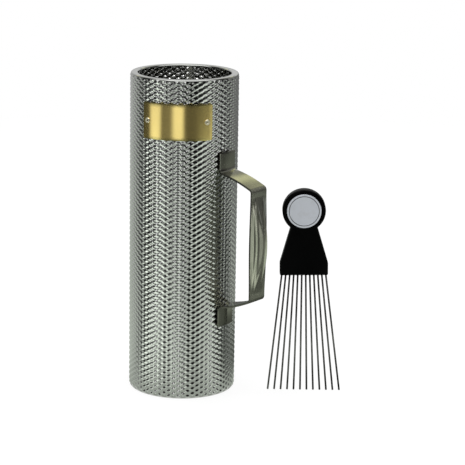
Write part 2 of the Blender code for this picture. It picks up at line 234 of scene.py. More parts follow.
# Card tones by degrees round from the camera, positive to its right
POOL_TONES = (
    (-180, 0.12),
    (-165, 0.5),
    (-119, 0.65),
    (-91, 0.5),
    (-80, 0.15),
    (-70, 0.5),
    (-62, 1.5),
    (-53, 1.4),
    (-41, 0.9),
    (-20, 0.7),
    (-8, 1.1),
    (1, 1.0),
    (10, 0.25),
    (28, 0.6),
    (40, 0.85),
    (66, 0.7),
    (76, 0.15),
    (105, 0.12),
    (165, 0.15),
    (180, 0.12),
)
FLOOR_TONES = (
    (-180, 0.12),
    (-165, 0.5),
    (-133, 0.6),
    (-104, 0.4),
    (-84, 0.05),
    (-72, 0.08),
    (-65, 1.8),
    (-55, 1.8),
    (-48, 0.15),
    (-20, 0.25),
    (-8, 0.6),
    (1, 0.5),
    (8, 0.06),
    (24, 0.12),
    (36, 0.7),
    (45, 1.2),
    (66, 0.9),
    (78, 0.15),
    (94, 0.15),
    (104, 0.65),
    (125, 0.5),
    (165, 0.2),
    (180, 0.12),
)
SKIRT_TONES = (
    (-180, 0.12),
    (-165, 0.55),
    (-100, 0.5),
    (-92, 0.1),
    (-75, 0.1),
    (-69, 1.05),
    (-50, 1.05),
    (-45, 0.2),
    (-27, 0.25),
    (-18, 1.25),
    (-4, 1.25),
    (3, 0.12),
    (55, 0.18),
    (60, 1.6),
    (74, 1.6),
    (79, 0.08),
    (95, 0.08),
    (115, 0.15),
    (165, 0.2),
    (180, 0.12),
)
BAND_TONES = (
    (-180, 0.7),
    (-135, 0.5),
    (-112, 0.3),
    (-100, 0.2),
    (-92, 0.03),
    (-74, 0.01),
    (-66, 1.0),
    (-62, 1.3),
    (-53, 1.3),
    (-45, 0.05),
    (-27, 0.05),
    (-19, 1.3),
    (-2, 1.3),
    (4, 0.01),
    (36, 0.01),
    (48, 0.12),
    (58, 0.12),
    (61, 1.3),
    (69, 1.3),
    (75, 0.02),
    (92, 0.02),
    (110, 0.3),
    (130, 0.5),
    (150, 0.8),
    (180, 0.7),
)
SIDE_TONES = (
    (-180, 0.55),
    (-135, 0.45),
    (-112, 0.15),
    (-96, 0.03),
    (-72, 0.01),
    (-60, 0.1),
    (-44, 0.05),
    (-4, 0.05),
    (10, 0.01),
    (36, 0.01),
    (48, 0.12),
    (66, 0.12),
    (76, 0.02),
    (92, 0.02),
    (110, 0.25),
    (150, 0.2),
    (172, 0.2),
    (180, 0.5),
)


class Wire:
    """A node's output that can be used in sums: each operator adds a Math node."""

    def __init__(self, graph, socket):
        self.graph = graph
        self.socket = socket

    def math(self, operation, *others):
        values = dict(enumerate((self, *others)))
        return self.graph.node("ShaderNodeMath", {"operation": operation}, values)

    def __add__(self, other):
        return self.math("ADD", other)

    __radd__ = __add__

    def __sub__(self, other):
        return self.math("SUBTRACT", other)

    def __rsub__(self, other):
        return self * -1 + other

    def __mul__(self, other):
        return self.math("MULTIPLY", other)

    __rmul__ = __mul__

    def __truediv__(self, other):
        return self.math("DIVIDE", other)

    def __pow__(self, other):
        return self.math("POWER", other)

    def __gt__(self, other):
        return self.math("GREATER_THAN", other)

    def output(self, name):
        """Another output of the same node."""
        return Wire(self.graph, self.socket.node.outputs[name])


class Graph:
    """A node tree whose nodes are all added by one method."""

    def __init__(self, tree):
        self.tree = tree

    def node(self, kind, settings=None, inputs=None, output=0):
        made = self.tree.nodes.new(kind)
        for name, value in (settings or {}).items():
            if name == "stops":
                self.set_stops(made.color_ramp, value)
            else:
                setattr(made, name, value)
        for name, value in (inputs or {}).items():
            if isinstance(value, Wire):
                self.tree.links.new(value.socket, made.inputs[name])
            else:
                made.inputs[name].default_value = value
        return Wire(self, made.outputs[output] if made.outputs else None)

    @staticmethod
    def set_stops(ramp, stops):
        while len(ramp.elements) < len(stops):
            ramp.elements.new(1)
        for element, (place, colour) in zip(ramp.elements, stops):
            element.position = place
            element.color = colour

    def parts(self, vector):
        """The x, y and z of a vector."""
        split = self.node("ShaderNodeSeparateXYZ", None, {0: vector})
        return [split.output(axis) for axis in range(3)]

    def vector(self, x, y, z):
        return self.node("ShaderNodeCombineXYZ", None, {0: x, 1: y, 2: z})

    def mix(self, factor, first, second, blend="MIX"):
        """A colour between two colours."""
        settings = {"data_type": "RGBA", "blend_type": blend}
        return self.node("ShaderNodeMix", settings, {0: factor, 6: first, 7: second}, 2)

    def ramp(self, value, low, high):
        """0 below low, 1 above high and a smooth rise between."""
        settings = {"interpolation_type": "SMOOTHSTEP"}
        return self.node("ShaderNodeMapRange", settings, {0: value, 1: low, 2: high})

    def noise(self, place, scale, detail=2.0, roughness=0.5):
        inputs = {"Vector": place, "Scale": scale, "Detail": detail, "Roughness": roughness}
        return self.node("ShaderNodeTexNoise", None, inputs)

    def attribute(self, name):
        return self.node("ShaderNodeAttribute", {"attribute_name": name}, None, "Fac")

    def shown(self):
        """1 for rays that see the background: from the camera, off metal or through glass."""
        ray = self.node("ShaderNodeLightPath", None, None, "Is Camera Ray")
        seen = ray + ray.output("Is Glossy Ray") + ray.output("Is Transmission Ray")
        return seen.math("MINIMUM", 1)


class Finish(Graph):
    """A Principled material. What is the same all over it is set on the shader's own sockets."""

    def __init__(self, name, constants):
        self.material = bpy.data.materials.new(name)
        self.material.use_nodes = True
        super().__init__(self.material.node_tree)
        self.shader = self.tree.nodes["Principled BSDF"]
        for socket, value in constants.items():
            self.shader.inputs[socket].default_value = value

    def feed(self, socket, wire):
        self.tree.links.new(wire.socket, self.shader.inputs[socket])

    def place(self, centre=(0, 0, 0), turn=0.0, stretch=(1, 1, 1)):
        """Object coordinates about a centre, turned about Z and then stretched along each axis."""
        here = self.node("ShaderNodeTexCoord", None, None, "Object")
        away = self.node("ShaderNodeVectorMath", {"operation": "SUBTRACT"}, {0: here, 1: centre})
        turned = self.node("ShaderNodeMapping", None, {"Vector": away, "Rotation": (0, 0, -turn)})
        return self.node("ShaderNodeVectorMath", {"operation": "MULTIPLY"}, {0: turned, 1: stretch})

    def relief(self, height, depth):
        """Bumps the surface by a height from 0 to 1, this deep."""
        bump = self.node("ShaderNodeBump", None, {"Height": height, "Distance": depth, "Strength": 1.0})
        self.feed("Normal", bump)


class Tree(Graph):
    """A Geometry Nodes tree with named sizes, which ends in Realize Instances and Set Material."""

    KINDS = {float: "NodeSocketFloat", int: "NodeSocketInt", Vector: "NodeSocketVector"}

    def __init__(self, name, sizes, material):
        super().__init__(bpy.data.node_groups.new(name, "GeometryNodeTree"))
        self.values = {}
        self.add_input("Geometry", "NodeSocketGeometry")
        for label, value in sizes.items():
            self.values[self.add_input(label, self.KINDS[type(value)])] = value
        self.values[self.add_input("Finish", "NodeSocketMaterial")] = material
        self.tree.interface.new_socket("Geometry", in_out="OUTPUT", socket_type="NodeSocketGeometry")
        self.entry = self.tree.nodes.new("NodeGroupInput")

    def add_input(self, label, kind):
        return self.tree.interface.new_socket(label, in_out="INPUT", socket_type=kind).identifier

    def __getitem__(self, label):
        return Wire(self, self.entry.outputs[label])

    def end(self, geometry):
        whole = self.node("GeometryNodeRealizeInstances", None, {0: geometry})
        dressed = self.node("GeometryNodeSetMaterial", None, {0: whole, "Material": self["Finish"]})
        self.node("NodeGroupOutput", None, {0: dressed})

    def applied(self, name, bm, outwards=True):
        """The tree's result on a bmesh, as a plain mesh object."""
        carrier = linked(name, mesh_of(name, bm, outwards))
        modifier = carrier.modifiers.new(name, "NODES")
        modifier.node_group = self.tree
        for identifier, value in self.values.items():
            modifier[identifier] = value
        return plain(carrier)


def mesh_of(name, bm, outwards=True):
    """A smooth mesh from a bmesh, with its faces turned outwards unless they are right as they are."""
    if outwards:
        bmesh.ops.recalc_face_normals(bm, faces=bm.faces)
    mesh = bpy.data.meshes.new(name)
    bm.to_mesh(mesh)
    bm.free()
    mesh.shade_smooth()
    return mesh


def linked(name, mesh):
    piece = bpy.data.objects.new(name, mesh)
    bpy.context.scene.collection.objects.link(piece)
    return piece


def plain(carrier):
    """A new object with the carrier's finished mesh; the carrier and its modifiers go."""
    name = carrier.name
    bpy.context.view_layer.update()
    graph = bpy.context.evaluated_depsgraph_get()
    mesh = bpy.data.meshes.new_from_object(carrier.evaluated_get(graph), depsgraph=graph)
    bpy.data.objects.remove(carrier, do_unlink=True)
    mesh.name = name
    return linked(name, mesh)


def cut_out(piece, cutter):
    """The piece less the cutter, which goes."""
    boolean = piece.modifiers.new("cut", "BOOLEAN")
    boolean.operation = "DIFFERENCE"
    boolean.solver = "EXACT"
    boolean.object = cutter
    result = plain(piece)
    bpy.data.objects.remove(cutter, do_unlink=True)
    return result


def turned(profile, sides, closed=False):
    """A bmesh turned about Z from (radius, height) points; a point on the axis becomes a pole."""
    bm = bmesh.new()
    rings = []
    for radius, height in profile:
        ring = []
        for side in range(sides if radius > 0 else 1):
            angle = 2 * math.pi * side / sides
            ring.append(bm.verts.new((radius * math.cos(angle), radius * math.sin(angle), height)))
        rings.append(ring)
    pairs = list(zip(rings, rings[1:]))
    if closed:
        pairs.append((rings[-1], rings[0]))
    for ring, following in pairs:
        for side in range(sides):
            beside = side + 1
            corners = (
                ring[side % len(ring)],
                ring[beside % len(ring)],
                following[beside % len(following)],
                following[side % len(following)],
            )
            bm.faces.new(dict.fromkeys(corners))
    return bm


def sheet_of(rows):
    """A bmesh sheet through rows of points."""
    bm = bmesh.new()
    lines = [[bm.verts.new(point) for point in row] for row in rows]
    for line, following in zip(lines, lines[1:]):
        for place in range(len(line) - 1):
            bm.faces.new((line[place], line[place + 1], following[place + 1], following[place]))
    return bm


def thickened(name, bm, thickness, edge_round, material):
    """A sheet made a plate about its middle surface, with rounded edges."""
    carrier = linked(name, mesh_of(name, bm))
    solidify = carrier.modifiers.new("plate", "SOLIDIFY")
    solidify.thickness = thickness
    solidify.offset = 0
    solidify.use_even_offset = True
    bevel = carrier.modifiers.new("edges", "BEVEL")
    bevel.width = edge_round
    bevel.segments = BEVEL_STEPS
    bevel.limit_method = "ANGLE"
    bevel.angle_limit = BEVEL_ANGLE
    piece = plain(carrier)
    piece.data.materials.append(material)
    return piece


def rounded_corner(before, corner, after, radius, steps):
    """Points and directions round one corner of a flat path, from one straight to the next."""
    incoming = (corner - before).normalized()
    outgoing = (after - corner).normalized()
    turn = incoming.angle_signed(outgoing)
    start = corner - incoming * radius * math.tan(abs(turn) / 2)
    side = math.copysign(1, turn)
    centre = start + Vector((incoming.y, -incoming.x)) * radius * side
    stations = []
    for step in range(steps + 1):
        rotation = Matrix.Rotation(-turn * step / steps, 2)
        stations.append((centre + rotation @ (start - centre), rotation @ incoming))
    return stations


# Finishes


def stainless_sheet():
    """Bright embossed stainless steel: pale crests with a fine grain, darker valleys and faint smears."""
    finish = Finish("stainless_sheet", {"Metallic": 1.0})
    crest = finish.attribute("crest")
    smear = finish.noise(finish.place(), 26.0, 4.0, 0.6)
    grain = finish.noise(finish.place(stretch=(1, 1, 0.04)), 2600.0, 2.0)
    valley = finish.mix(smear, (0.46, 0.47, 0.45, 1), (0.54, 0.55, 0.52, 1))
    bright = finish.mix(smear, (0.60, 0.61, 0.59, 1), (0.66, 0.67, 0.65, 1))
    finish.feed("Base Color", finish.mix(finish.ramp(crest, 0.0, 0.5), valley, bright))
    finish.feed("Roughness", 0.03 + 0.04 * finish.ramp(smear, 0.4, 0.75) + 0.02 * grain * crest)
    finish.relief(grain, 0.004 * MM)
    return finish.material


def tarnished_lining():
    """The tube's inner face: steel paler than the outside, whose dents are painted near black as the shade
    inside the tube.
    """
    finish = Finish("tarnished_lining", {"Metallic": 1.0})
    dent_shade = finish.ramp(finish.attribute("crest"), *LINING_DENT_SHADE)
    smear = finish.noise(finish.place(), 26.0, 4.0, 0.6)
    bright = finish.mix(smear, (0.78, 0.79, 0.77, 1), (0.88, 0.89, 0.87, 1))
    # The dents get a near-black colour: painted shade.
    finish.feed("Base Color", finish.mix(dent_shade, bright, (0.09, 0.09, 0.08, 1)))
    finish.feed("Roughness", 0.03 + 0.04 * finish.ramp(smear, 0.4, 0.75) + 0.15 * dent_shade)
    return finish.material


def steel_strap():
    """Plated strap steel, drawn along its length and rubbed dull on the grip; its sheared side faces are
    painted near black as shade.
    """
    finish = Finish("steel_strap", {"Metallic": 1.0})
    lines = finish.noise(finish.place(stretch=(0.012, 1, 0.012)), 3200.0, 3.0, 0.6)
    smear = finish.noise(finish.place(), 45.0, 4.0, 0.6)
    pale = finish.mix(lines, (0.40, 0.40, 0.33, 1), (0.48, 0.48, 0.40, 1))
    drawn = finish.mix(finish.ramp(smear, 0.35, 0.7), pale, (0.36, 0.37, 0.30, 1))
    # The side faces marked "edge" get a near-black colour: painted shade.
    finish.feed("Base Color", finish.mix(finish.attribute("edge"), drawn, (0.06, 0.06, 0.05, 1)))
    reach = finish.parts(finish.place(tuple(TUBE_AXIS)))[0]
    grip = CREST_RADIUS + HANDLE_REACH
    rubbed = finish.ramp(reach, grip - RUBBED_DEPTH, grip)
    finish.feed("Roughness", 0.07 + 0.06 * smear + 0.04 * lines + 0.16 * rubbed)
    finish.relief(lines, 0.002 * MM)
    return finish.material


def brass_plate():
    """Polished brass, faintly brushed, with olive tarnish in from its edges."""
    finish = Finish("brass_plate", {"Metallic": 1.0})
    lines = finish.noise(finish.place(stretch=(0.02, 0.02, 1)), 3600.0, 3.0, 0.6)
    cloud = finish.noise(finish.place(), 60.0, 4.0, 0.6)
    border = finish.attribute("border")
    tarnish = finish.ramp(border / TARNISH_DEPTH + cloud * 1.6, 1.9, 0.7)
    bright = finish.mix(lines, (0.83, 0.64, 0.20, 1), (0.88, 0.71, 0.28, 1))
    finish.feed("Base Color", finish.mix(tarnish, bright, (0.42, 0.36, 0.14, 1)))
    finish.feed("Roughness", 0.13 + 0.10 * tarnish + 0.05 * lines)
    finish.relief(lines, 0.003 * MM)
    return finish.material


def brass_rivet():
    """Pale plated brass, faintly clouded."""
    finish = Finish("brass_rivet", {"Metallic": 1.0})
    cloud = finish.noise(finish.place(), 900.0, 3.0, 0.6)
    finish.feed("Base Color", finish.mix(cloud, (0.82, 0.76, 0.56, 1), (0.92, 0.88, 0.72, 1)))
    finish.feed("Roughness", 0.34 + 0.14 * cloud)
    finish.relief(cloud, 0.01 * MM)
    return finish.material


def black_plastic():
    """Moulded black plastic with a fine grain and faint handling marks."""
    finish = Finish("black_plastic", {"Specular IOR Level": 0.06})
    grain = finish.noise(finish.place(), 3000.0, 2.0)
    marks = finish.noise(finish.place(), 70.0, 5.0, 0.65)
    finish.feed("Base Color", finish.mix(marks, (0.0004, 0.0004, 0.0005, 1), (0.0012, 0.0012, 0.0014, 1)))
    finish.feed("Roughness", 0.26 + 0.16 * marks)
    finish.relief(grain, 0.012 * MM)
    return finish.material


def silver_label(middle):
    """A silvery foil label, spun in fine circles, with one thin black ring and a bare middle."""
    finish = Finish("silver_label", {"Metallic": 0.2})
    across, _, height = finish.parts(finish.place(tuple(middle), SCRAPER_TURN))
    radius = (across * across + height * height).math("SQRT")
    spun = finish.noise(finish.vector(radius, 0.0, 0.0), 5200.0, 2.0)
    cloud = finish.noise(finish.place(), 120.0, 4.0, 0.6)
    silver = finish.mix(spun, (0.75, 0.79, 0.86, 1), (0.86, 0.90, 0.96, 1))
    worn = finish.mix(finish.ramp(cloud, 0.45, 0.8), silver, (0.74, 0.77, 0.82, 1))
    from_ring = (radius - LABEL_RING_RADIUS).math("ABSOLUTE")
    edge = LABEL_RING_WIDTH / 2
    ring = finish.ramp(from_ring, edge + LABEL_RING_BLUR, edge - LABEL_RING_BLUR)
    finish.feed("Base Color", finish.mix(ring, worn, (0.02, 0.02, 0.022, 1)))
    finish.feed("Roughness", 0.30 + 0.12 * cloud)
    finish.relief(spun - 0.6 * ring, 0.006 * MM)
    return finish.material


def steel_wire():
    """Hard drawn wire, dull grey with brighter rubbed stretches."""
    finish = Finish("steel_wire", {"Metallic": 1.0})
    lines = finish.noise(finish.place(stretch=(1, 1, 0.01)), 4200.0, 2.0)
    patch = finish.noise(finish.place(), 55.0, 4.0, 0.6)
    dull = finish.mix(lines, (0.10, 0.10, 0.10, 1), (0.15, 0.15, 0.14, 1))
    finish.feed("Base Color", finish.mix(finish.ramp(patch, 0.4, 0.7), dull, (0.24, 0.24, 0.23, 1)))
    finish.feed("Roughness", 0.22 + 0.14 * patch)
    finish.relief(lines, 0.004 * MM)
    return finish.material


# Scraping tube


def rim_path(inset):
    """Section of the upper rim from the wall to the lip's edge, this far in from the sheet's outer face."""
    bend = RIM_BEND - inset
    outside = SHEET_RADIUS - RIM_BEND
    inside = SHEET_RADIUS - RIM_WIDTH + RIM_BEND
    height = TUBE_LENGTH - RIM_BEND
    wall_bend = []
    lip_bend = []
    for step in range(RIM_BEND_STEPS + 1):
        angle = step / RIM_BEND_STEPS * math.pi / 2
        wall_bend.append((outside + bend * math.cos(angle), height + bend * math.sin(angle)))
        lip_bend.append((inside - bend * math.sin(angle), height + bend * math.cos(angle)))
    return wall_bend + lip_bend + [(inside - bend, TUBE_LENGTH - RIM_LIP)]


def wall_heights():
    """Heights of the wall's rings from one rim's bend to the other's."""
    wall = TUBE_LENGTH - 2 * RIM_BEND
    count = int(wall / BUMP_ROW_PITCH * RINGS_PER_ROW)
    return [RIM_BEND + wall * place / count for place in range(count + 1)]


def outer_rings():
    """The sheet's outer face with both rims, from the lower lining to the upper, as (radius, height)."""
    wall = [(SHEET_RADIUS, height) for height in wall_heights()[1:-1]]
    top = rim_path(0) + rim_path(SHEET_THICKNESS)[::-1]
    bottom = [(radius, TUBE_LENGTH - height) for radius, height in reversed(top)]
    return bottom + wall + top


def lining_rings():
    """The sheet's inner face between the rims, from the top down."""
    return [(SHEET_RADIUS - SHEET_THICKNESS, height) for height in wall_heights()[::-1]]


def plain_sheet(section, share):
    """A sheet turned from its section, marked with the share of the bumps' height that it takes."""
    bm = bmesh.new()
    embossed = bm.verts.layers.float.new("embossed")
    points = BUMP_COLUMNS * POINTS_PER_COLUMN
    on_wall = SHEET_RADIUS - SHEET_THICKNESS - SEAT_GAP
    rings = []
    for radius, height in section:
        from_end = min(height, TUBE_LENGTH - height) - RIM_BEND
        pressed = clamp(from_end / BUMP_MARGIN) if radius > on_wall else 0
        ring = []
        for place in range(points):
            azimuth = SEAM_AZIMUTH + 2 * math.pi * place / points
            spot = TUBE_AXIS + Vector((radius * math.cos(azimuth), radius * math.sin(azimuth), height))
            vertex = bm.verts.new(spot)
            vertex[embossed] = pressed * share
            ring.append(vertex)
        rings.append(ring)
    for ring, following in zip(rings, rings[1:]):
        for place in range(points):
            beside = (place + 1) % points
            bm.faces.new((ring[place], ring[beside], following[beside], following[place]))
    return bm


def embossing(material):
    """A tree that presses staggered bumps and hollows into a sheet that stands round an axis."""
    sizes = {
        "Axis": TUBE_AXIS,
        "Columns": BUMP_COLUMNS,
        "Column shift": COLUMN_SHIFT,
        "Row pitch": BUMP_ROW_PITCH,
        "First row": TUBE_LENGTH / 2 - ROW_SHIFT * BUMP_ROW_PITCH,
        "Bump height": BUMP_HEIGHT,
        "Hollow depth": HOLLOW_DEPTH,
        "Fullness": BUMP_FULLNESS,
        "Seam azimuth": SEAM_AZIMUTH,
        "Seam half columns": SEAM_HALF_COLUMNS,
        "Seam fade": SEAM_FADE,
        "Seam bead": SEAM_BEAD_HEIGHT,
    }
    tree = Tree("embossing", sizes, material)
    x, y, z = tree.parts(tree.node("GeometryNodeInputPosition"))
    axis_x, axis_y, _ = tree.parts(tree["Axis"])
    side, front = x - axis_x, y - axis_y
    reach = (side * side + front * front).math("SQRT")
    turn = (front.math("ARCTAN2", side) - tree["Seam azimuth"]) / (2 * math.pi)
    column = turn.math("FRACT") * tree["Columns"]
    row = (z - tree["First row"]) / tree["Row pitch"]
    stagger = (column + tree["Column shift"]) * math.pi
    wave = stagger.math("COSINE") * (row * (2 * math.pi)).math("COSINE")
    wave = wave.math("SIGN") * wave.math("ABSOLUTE") ** tree["Fullness"]
    from_seam = column.math("MINIMUM", tree["Columns"] - column)
    seam_edge = tree["Seam half columns"]
    clear = tree.ramp(from_seam, seam_edge - tree["Seam fade"], seam_edge + tree["Seam fade"])
    mask = tree.node("GeometryNodeInputNamedAttribute", {"data_type": "FLOAT"}, {"Name": "embossed"})
    pressed = clear * mask
    crest = (wave + 1) / 2 * pressed
    bead = (1 - from_seam * POINTS_PER_COLUMN / 2).math("MAXIMUM", 0) * mask
    depth = tree["Bump height"] + tree["Hollow depth"]
    rise = (crest * depth - pressed * tree["Hollow depth"] + bead * tree["Seam bead"]) / reach
    offset = tree.vector(side * rise, front * rise, 0.0)
    raised = tree.node(
        "GeometryNodeSetPosition", None, {"Geometry": tree["Geometry"], "Offset": offset}
    )
    settings = {"data_type": "FLOAT", "domain": "POINT"}
    inputs = {"Geometry": raised, "Name": "crest", "Value": crest}
    tree.end(tree.node("GeometryNodeStoreNamedAttribute", settings, inputs))
    return tree


def tube_face(name, section, share, material):
    """One face of the embossed sheet, pressed to this share of the outer bumps' height."""
    face = embossing(material).applied(name, plain_sheet(section, share), outwards=False)
    face.data.set_sharp_from_angle(angle=SHEET_CREASE)
    return face


# Handle


def handle_stations():
    """Stations from the strap's top end to mid grip: place, direction, curve across and share of the boss."""
    seat = CREST_RADIUS + SEAT_GAP + STRAP_THICKNESS / 2
    grip = CREST_RADIUS + HANDLE_REACH - STRAP_THICKNESS / 2
    middle = TUBE_LENGTH / 2
    top = Vector((seat, middle + FOOT_BEND_HEIGHT + FOOT_LENGTH))
    foot = Vector((seat, middle + FOOT_BEND_HEIGHT))
    bend = Vector((grip, middle + GRIP_BEND_HEIGHT))
    low = Vector((grip, middle))
    down = Vector((0, -1))
    bends = rounded_corner(top, foot, bend, FOOT_BEND_RADIUS, BEND_STEPS)
    stations = []
    for step in range(FOOT_STEPS):
        stations.append((top.lerp(bends[0][0], step / FOOT_STEPS), down, 1 / seat, 0))
    for step, (place, way) in enumerate(bends):
        stations.append((place, way, (1 - step / BEND_STEPS) / seat, 0))
    corner = rounded_corner(foot, bend, low, GRIP_BEND_RADIUS, BEND_STEPS)
    stations += bowed_leg(bends[-1], corner[0])
    for place, way in corner:
        stations.append((place, way, 0, 0))
    for step in range(BOSS_STEPS + 1):
        along = math.cos(step / BOSS_STEPS * math.pi / 2)
        place = Vector((grip, middle + BOSS_HALF_LENGTH * along))
        stations.append((place, down, 0, (1 - along**2) ** BOSS_EASE))
    return stations


def bowed_leg(start, end):
    """The stations of a leg between its bends, bowed a little upwards."""
    way = start[1]
    upward = Vector((-way.y, way.x))
    stations = []
    for step in range(1, LEG_STEPS):
        share = step / LEG_STEPS
        place = start[0].lerp(end[0], share) + upward * LEG_BOW * math.sin(math.pi * share)
        stations.append((place, way, 0, 0))
    return stations


def ridge_bead(offset, ridge):
    """A rounded bead across a ridge, from 0 to 1."""
    return max(0, 1 - ((offset - ridge) / RIDGE_HALF_WIDTH) ** 2) ** 2


def strap_section(boss):
    """Places across the strap as (offset, rise), where the boss has this share of its full height."""
    inner = lerp(INNER_RIDGE_END_OFFSET, INNER_RIDGE_OFFSET, boss)
    outer = lerp(OUTER_RIDGE_END_OFFSET, OUTER_RIDGE_OFFSET, boss)
    edge = STRAP_WIDTH / 2 + GRIP_SWELL * boss
    knots = (
        (0, FLAT_SPANS),
        (inner - RIDGE_HALF_WIDTH, RIDGE_SPANS),
        (inner + RIDGE_HALF_WIDTH, FLAT_SPANS),
        (outer - RIDGE_HALF_WIDTH, RIDGE_SPANS),
        (outer + RIDGE_HALF_WIDTH, FLAT_SPANS),
        (edge, 0),
    )
    offsets = []
    for (start, spans), (end, _) in zip(knots, knots[1:]):
        offsets += [lerp(start, end, span / spans) for span in range(spans)]
    half = []
    for offset in offsets + [edge]:
        if offset < inner:
            share = INNER_RIDGE_SHARE
        elif offset < outer:
            share = lerp(INNER_RIDGE_SHARE, OUTER_RIDGE_SHARE, (offset - inner) / (outer - inner))
        else:
            share = OUTER_RIDGE_SHARE * (edge - offset) / (edge - outer)
        beads = ridge_bead(offset, inner) + ridge_bead(offset, outer)
        half.append((offset, boss * (BOSS_HEIGHT * share + RIDGE_HEIGHT * beads)))
    return [(-offset, rise) for offset, rise in reversed(half[1:])] + half


def strap_point(station, offset, rise):
    """One point of the strap's middle surface, at this offset across it and this rise from it."""
    place, way, curve, _ = station
    outward = Vector((-way.y, way.x))
    across, sag = offset, 0
    if curve:
        across = math.sin(curve * offset) / curve
        sag = (1 - math.cos(curve * offset)) / curve
    flat = place + outward * (rise - sag)
    return TUBE_AXIS + Vector((flat.x, across, flat.y))


def handle_strap(material):
    upper = handle_stations()
    lower = []
    for place, way, curve, boss in reversed(upper[:-1]):
        lower.append((Vector((place.x, TUBE_LENGTH - place.y)), Vector((-way.x, way.y)), curve, boss))
    rows = []
    for station in upper + lower:
        section = strap_section(station[-1])
        rows.append([strap_point(station, offset, rise) for offset, rise in section])
    strap = thickened("handle_strap", sheet_of(rows), STRAP_THICKNESS, STRAP_EDGE_ROUND, material)
    # Marks the strap's side faces, which its finish paints near black as shade.
    edge = strap.data.attributes.new("edge", "FLOAT", "POINT")
    for vertex in strap.data.vertices:
        at_side = abs(vertex.co.y - TUBE_AXIS.y) > STRAP_WIDTH / 2 - STRAP_THICKNESS / 2
        edge.data[vertex.index].value = at_side and abs(vertex.normal.y) > SIDEWAYS_NORMAL
    return strap


# Badge plate and its rivets


def badge_stations():
    """Places across the plate and its half height there, which falls away round the corners."""
    flat = BADGE_WIDTH / 2 - BADGE_CORNER_RADIUS
    stations = []
    for step in range(CORNER_STEPS):
        angle = step / CORNER_STEPS * math.pi / 2
        drop = BADGE_CORNER_RADIUS * (1 - math.sin(angle))
        stations.append((flat + BADGE_CORNER_RADIUS * math.cos(angle), BADGE_HEIGHT / 2 - drop))
    left = [(-offset, half_height) for offset, half_height in stations]
    middle = []
    for span in range(BADGE_SPANS + 1):
        middle.append((lerp(-flat, flat, span / BADGE_SPANS), BADGE_HEIGHT / 2))
    return left + middle + stations[::-1]


def badge_height():
    return TUBE_LENGTH - BADGE_DROP


def rivet_spread():
    return (BADGE_WIDTH / 2 - RIVET_INSET) / (CREST_RADIUS + SEAT_GAP)


def badge_plate(material):
    seat = CREST_RADIUS + SEAT_GAP
    radius = seat + BADGE_THICKNESS / 2
    rows = []
    for offset, half_height in badge_stations():
        azimuth = BADGE_AZIMUTH + offset / seat
        side = TUBE_AXIS + Vector((radius * math.cos(azimuth), radius * math.sin(azimuth), badge_height()))
        row = []
        for place in range(BADGE_ROWS + 1):
            row.append(side + Vector((0, 0, half_height * (2 * place / BADGE_ROWS - 1))))
        rows.append(row)
    plate = thickened("badge", sheet_of(rows), BADGE_THICKNESS, BADGE_EDGE_ROUND, material)
    plate = cut_out(plate, rivet_holes())
    border = plate.data.attributes.new("border", "FLOAT", "POINT")
    for vertex in plate.data.vertices:
        away = vertex.co - TUBE_AXIS
        turn = math.remainder(math.atan2(away.y, away.x) - BADGE_AZIMUTH, 2 * math.pi)
        from_side = BADGE_WIDTH / 2 - abs(turn) * seat
        from_end = BADGE_HEIGHT / 2 - abs(away.z - badge_height())
        border.data[vertex.index].value = min(from_side, from_end)
    return plate


def radial_placement(azimuth):
    """A frame whose Z axis runs out along the tube's radius, at the badge's height."""
    foot = Matrix.Translation(TUBE_AXIS + Vector((0, 0, badge_height())))
    return foot @ Matrix.Rotation(azimuth, 4, "Z") @ Matrix.Rotation(math.pi / 2, 4, "Y")


def rivet_holes():
    """A cutter for the rivets' holes through the plate."""
    low = CREST_RADIUS + SEAT_GAP - CUTTER_OVERRUN
    high = CREST_RADIUS + SEAT_GAP + BADGE_THICKNESS + CUTTER_OVERRUN
    radius = RIVET_BORE_RADIUS + SEAT_GAP
    whole = bmesh.new()
    for side in (-1, 1):
        rod = turned(((0, low), (radius, low), (radius, high), (0, high)), RIVET_SIDES)
        rod.transform(radial_placement(BADGE_AZIMUTH + side * rivet_spread()))
        mesh = mesh_of("rivet_hole", rod)
        whole.from_mesh(mesh)
        bpy.data.meshes.remove(mesh)
    return linked("rivet_holes", mesh_of("rivet_holes", whole))


def flange(low, high, base, height):
    """A half oval from one radius to another, standing this high on its base."""
    points = []
    for step in range(FLANGE_STEPS + 1):
        angle = math.pi * step / FLANGE_STEPS
        radius = (low + high) / 2 + (high - low) / 2 * math.cos(angle)
        points.append((radius, base + height * math.sin(angle)))
    return points


def rivet_profile():
    """Half section of a set rivet as (radius, reach from the tube's axis)."""
    seat = CREST_RADIUS + 2 * SEAT_GAP + BADGE_THICKNESS
    inside = SHEET_RADIUS - SHEET_THICKNESS - SEAT_GAP
    head = flange(RIVET_BORE_RADIUS, RIVET_HEAD_RADIUS, seat, RIVET_HEAD_HEIGHT)
    clinch = flange(RIVET_BORE_RADIUS, RIVET_CLINCH_RADIUS, inside, -RIVET_CLINCH_HEIGHT)
    return head + clinch[::-1] + [(RIVET_SHANK_RADIUS, inside), (RIVET_SHANK_RADIUS, seat)]


def rivet_pair(material):
    """Both rivets, set out by a tree along the plate's middle line."""
    sizes = {
        "Count": RIVET_COUNT,
        "Middle": TUBE_AXIS + Vector((0, 0, badge_height())),
        "Azimuth": BADGE_AZIMUTH,
        "Spread": rivet_spread(),
    }
    tree = Tree("rivet setting", sizes, material)
    share = tree.node("GeometryNodeInputIndex") / (tree["Count"] - 1) * 2 - 1
    azimuth = tree["Azimuth"] + share * tree["Spread"]
    points = tree.node("GeometryNodePoints", None, {"Count": tree["Count"], "Position": tree["Middle"]})
    turn = tree.node("FunctionNodeEulerToRotation", None, {0: tree.vector(0.0, math.pi / 2, azimuth)})
    inputs = {"Points": points, "Instance": tree["Geometry"], "Rotation": turn}
    tree.end(tree.node("GeometryNodeInstanceOnPoints", None, inputs))
    return tree.applied("badge_rivets", turned(rivet_profile(), RIVET_SIDES, closed=True))


# Scraper


